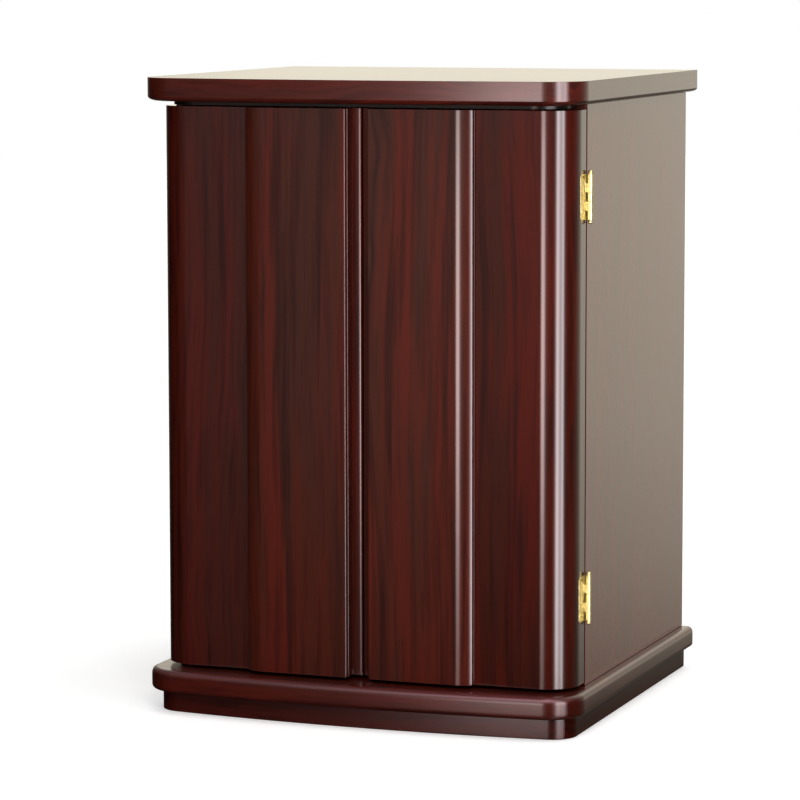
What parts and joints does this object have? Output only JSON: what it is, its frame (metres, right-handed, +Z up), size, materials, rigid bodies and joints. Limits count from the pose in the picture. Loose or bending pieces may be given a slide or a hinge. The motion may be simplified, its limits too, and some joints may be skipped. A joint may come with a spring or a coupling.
{
  "type": "household altar cabinet",
  "caption": "Tabletop household altar cabinet in gloss rosewood tone: bowed top and base boards on a plinth, raised-field doors that wrap round the corners and fold back on brass hinges",
  "frame": {"origin": "centre of the footprint, on the underside of the plinth", "axes": "+Z up, the doors face -Y, +X is to the right of a person who faces the doors"},
  "size_m": [0.3876, 0.3658, 0.54],
  "materials": {
    "rosewood_gloss": "clear gloss lacquer over dark red-brown straight grain",
    "black_lacquer": "black-brown satin",
    "brass": "polished"
  },
  "bodies": {
    "cabinet": {"back_panel": "black_lacquer", "base_board": "rosewood_gloss", "header_strip": "black_lacquer", "hinge_left_lower_frame_leaf": "brass", "hinge_left_lower_frame_screw_1": "brass", "hinge_left_lower_frame_screw_2": "brass", "hinge_left_lower_pin": "brass", "hinge_left_upper_frame_leaf": "brass", "hinge_left_upper_frame_screw_1": "brass", "hinge_left_upper_frame_screw_2": "brass", "hinge_left_upper_pin": "brass", "hinge_right_lower_frame_leaf": "brass", "hinge_right_lower_frame_screw_1": "brass", "hinge_right_lower_frame_screw_2": "brass", "hinge_right_lower_pin": "brass", "hinge_right_upper_frame_leaf": "brass", "hinge_right_upper_frame_screw_1": "brass", "hinge_right_upper_frame_screw_2": "brass", "hinge_right_upper_pin": "brass", "plinth": "rosewood_gloss", "side_panel_left": "rosewood_gloss", "side_panel_right": "rosewood_gloss", "top_board": "rosewood_gloss"},
    "door_left_body": {"door_left": "rosewood_gloss", "hinge_left_lower_door_leaf": "brass", "hinge_left_lower_door_screw_1": "brass", "hinge_left_lower_door_screw_2": "brass", "hinge_left_upper_door_leaf": "brass", "hinge_left_upper_door_screw_1": "brass", "hinge_left_upper_door_screw_2": "brass"},
    "door_right_body": {"door_right": "rosewood_gloss", "hinge_right_lower_door_leaf": "brass", "hinge_right_lower_door_screw_1": "brass", "hinge_right_lower_door_screw_2": "brass", "hinge_right_upper_door_leaf": "brass", "hinge_right_upper_door_screw_1": "brass", "hinge_right_upper_door_screw_2": "brass"}
  },
  "joints": [
    {"name": "door_left_hinge", "type": "hinge", "parent": "cabinet", "child": "door_left_body", "pos_m": [-0.1865, -0.11175, 0.28], "axis": [0, 0, -1], "range_deg": [0, 180]},
    {"name": "door_right_hinge", "type": "hinge", "parent": "cabinet", "child": "door_right_body", "pos_m": [0.1865, -0.11175, 0.28], "axis": [0, 0, 1], "range_deg": [0, 180]}
  ]
}
